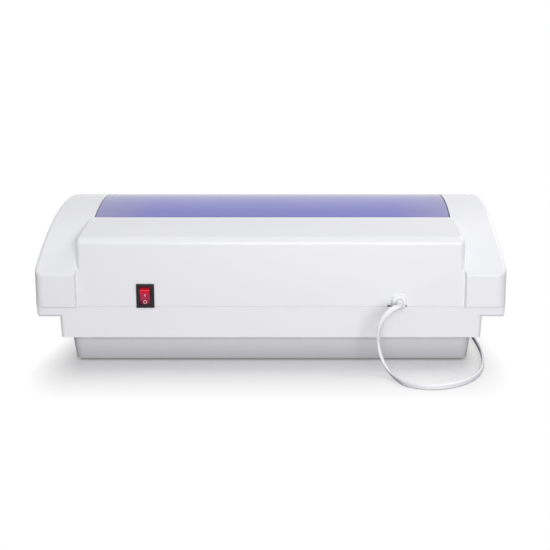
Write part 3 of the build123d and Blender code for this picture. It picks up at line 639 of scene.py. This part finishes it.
# Tongue of the lower shell, which stands up behind the parting line and closes it. It runs
# all round at these distances from the middle, but for the switch and the cord bush.
SEAM = 0.050
TONGUE_SIDE, TONGUE_BACK, TONGUE_CORNER = 0.2011, 0.1148, 0.004
TONGUE_FOOT, TONGUE_TOP, TONGUE_THICKNESS = SEAM - 0.0012, SEAM + 0.0008, 0.001
CORNER_STEPS = 5
SWITCH_LEFT, SWITCH_RIGHT = 0.1146, 0.1004
BUSH_LEFT, BUSH_RIGHT = -0.0995, -0.1175


def tongue_corner(side_x, side_y):
    """A quarter round of the tongue's line, from its back or front run to its side run."""
    angles = [math.pi / 2 * i / CORNER_STEPS for i in range(CORNER_STEPS + 1)]
    return [
        (side_x * (TONGUE_SIDE - TONGUE_CORNER * (1 - math.sin(a))),
         side_y * (TONGUE_BACK - TONGUE_CORNER * (1 - math.cos(a))))
        for a in angles
    ]


def seam_tongue(name, line):
    """A thin upright strip with its outer face on the line."""
    spots = [Vector((x, y, 0)) for x, y in line]
    vertices, faces = [], []
    for i, spot in enumerate(spots):
        ahead = heading(spots, i)
        inward = Vector((ahead.y, -ahead.x, 0)) * TONGUE_THICKNESS
        if (spot + inward).length > spot.length:
            inward = -inward
        for place in (spot, spot + inward):
            vertices += [place + Vector((0, 0, z)) for z in (TONGUE_FOOT, TONGUE_TOP)]
    for i in range(len(spots) - 1):
        a, b = 4 * i, 4 * (i + 1)
        faces += [(a, b, b + 1, a + 1), (a + 2, a + 3, b + 3, b + 2),
                  (a + 1, b + 1, b + 3, a + 3), (a, a + 2, b + 2, b)]
    last = 4 * (len(spots) - 1)
    faces += [(0, 1, 3, 2), (last, last + 2, last + 3, last + 1)]
    shell_detail(name, vertices, faces, "base_shell")


seam_tongue("tongue_back", [(SWITCH_RIGHT, TONGUE_BACK), (BUSH_LEFT, TONGUE_BACK)])
seam_tongue("tongue_round", [
    (SWITCH_LEFT, TONGUE_BACK),
    *tongue_corner(1, 1),
    *tongue_corner(1, -1)[::-1],
    *tongue_corner(-1, -1),
    *tongue_corner(-1, 1)[::-1],
    (BUSH_RIGHT, TONGUE_BACK),
])


# Web of the upper shell behind the slit beside the bush: deep at its foot, near the wall's
# outer face at its top
WEB_LEFT, WEB_RIGHT, WEB_THICKNESS = -0.10288, -0.10408, 0.0012
WEB_FOOT = (0.1131, SEAM + 0.0003)  # its outer face, as y and z
WEB_TOP = (0.1148, SEAM + 0.0076)


def slit_web():
    vertices = []
    for y, z in (WEB_FOOT, WEB_TOP):
        vertices += [
            (WEB_LEFT, y, z), (WEB_RIGHT, y, z),
            (WEB_RIGHT, y - WEB_THICKNESS, z), (WEB_LEFT, y - WEB_THICKNESS, z),
        ]
    faces = [(0, 3, 2, 1), (4, 5, 6, 7), (0, 1, 5, 4), (1, 2, 6, 5), (2, 3, 7, 6), (3, 0, 4, 7)]
    shell_detail("slit_web", vertices, faces, "upper_shell")


slit_web()


# Floor: it lies a tenth of a millimetre low, so that nothing shares its plane
FLOOR_HALF, FLOOR_DROP = 6.0, 0.0001

# The camera sees white paper that takes the shadow and turns to plain white outside a box
# round the housing. The box is given as its half length and half depth, after the scale.
SHADOW_SCALE = (2.4, 1, 1)
SHADOW_BOX = (0.37, 0.105, 0.0)
WHITE_START, WHITE_END, WHITE_SHARE = 0.03, 0.12, 0.16


def floor_white():
    """White paper for the camera, and a mid grey for the light that it throws back."""
    look = Look("floor_white", (0.18, 0.18, 0.185), 0.9, Specular_IOR_Level=0.1)
    matt = look.node("ShaderNodeBsdfDiffuse", None, (0.80, 0.80, 0.80, 1.0))
    white = look.node("ShaderNodeEmission", None, (1.0, 1.0, 1.0, 1.0), 1.0)
    seen = look.node("ShaderNodeLightPath", out="Is Camera Ray")
    spot = look.vector("ABSOLUTE", look.stretched(SHADOW_SCALE))
    outside = look.vector("MAXIMUM", look.vector("SUBTRACT", spot, SHADOW_BOX), (0.0, 0.0, 0.0))
    away = look.vector("LENGTH", outside, out="Value")
    share = look.between(away, WHITE_START, WHITE_END, WHITE_SHARE, 1.0)
    paper = look.node("ShaderNodeMixShader", None, share, matt, white)
    grey = Tone(look, look.shader.outputs[0])
    mix = look.node("ShaderNodeMixShader", None, seen, grey, paper)
    look.link(mix, look.tree.nodes["Material Output"].inputs["Surface"])
    return look


floor = mesh_piece("floor", [
    (-FLOOR_HALF, -FLOOR_HALF, 0), (FLOOR_HALF, -FLOOR_HALF, 0),
    (FLOOR_HALF, FLOOR_HALF, 0), (-FLOOR_HALF, FLOOR_HALF, 0),
], [(0, 1, 2, 3)])
floor.location = (0, 0, -FLOOR_DROP)
floor.data.materials.append(floor_white().material)


# Light: an even pale room that shows as plain white, and four soft lamps
def studio_room():
    world = bpy.data.worlds.new("studio")
    bpy.context.scene.world = world
    world.use_nodes = True
    room = Graph(world.node_tree)
    background = room.tree.nodes["Background"]
    room.link((0.97, 0.972, 1.0, 1.0), background.inputs["Color"])
    room.link(0.42, background.inputs["Strength"])
    around = Tone(room, background.outputs[0])
    shown = room.node("ShaderNodeBackground", None, (1.0, 1.0, 1.0, 1.0))
    camera_ray, through, mirrored = [
        room.node("ShaderNodeLightPath", out=ray)
        for ray in ("Is Camera Ray", "Is Transmission Ray", "Is Glossy Ray")
    ]
    plain = room.node("ShaderNodeMath", {"operation": "MAXIMUM"}, camera_ray, through)
    plain = room.node("ShaderNodeMath", {"operation": "MAXIMUM"}, plain, mirrored)
    mix = room.node("ShaderNodeMixShader", None, plain, around, shown)
    room.link(mix, room.tree.nodes["World Output"].inputs["Surface"])


def lamp(name, power, location, target, width, color, tall=0.7):
    """A soft rectangular lamp aimed at a point, so many times as tall as it is wide."""
    data = bpy.data.lights.new(name, "AREA")
    data.energy = power
    data.color = color
    data.shape = "RECTANGLE"
    data.size = width
    data.size_y = width * tall
    made = put(name, data)
    made.location = location
    aim = Vector(target) - Vector(location)
    made.rotation_euler = aim.to_track_quat("-Z", "Y").to_euler()
    return made


studio_room()
WARM, NEUTRAL = (1.0, 0.98, 0.97), (1.0, 0.985, 1.0)
lamp("overhead", 8.6, (-0.93, -0.42, 1.2), (0, 0, 0.08), 0.8, WARM)
lamp("behind_camera", 13.3, (-0.2, 1.52, 0.32), (0, 0.1, 0.06), 0.9, NEUTRAL)
# Narrow, for the glint on the raised box's back edge
lamp("strip", 1.7, (0.3, 1.3, 0.78), (0.1, 0.1, 0.08), 1.0, NEUTRAL, tall=0.1)
# Lights the front, and is left out of reflections so that the lid's crown stays clear
fill = lamp("front_fill", 7.0, (0.3, -1.6, 0.4), (0, -0.1, 0.05), 1.1, (1.0, 0.99, 0.98))
fill.visible_glossy = False

bpy.context.scene.view_settings.view_transform = "Standard"
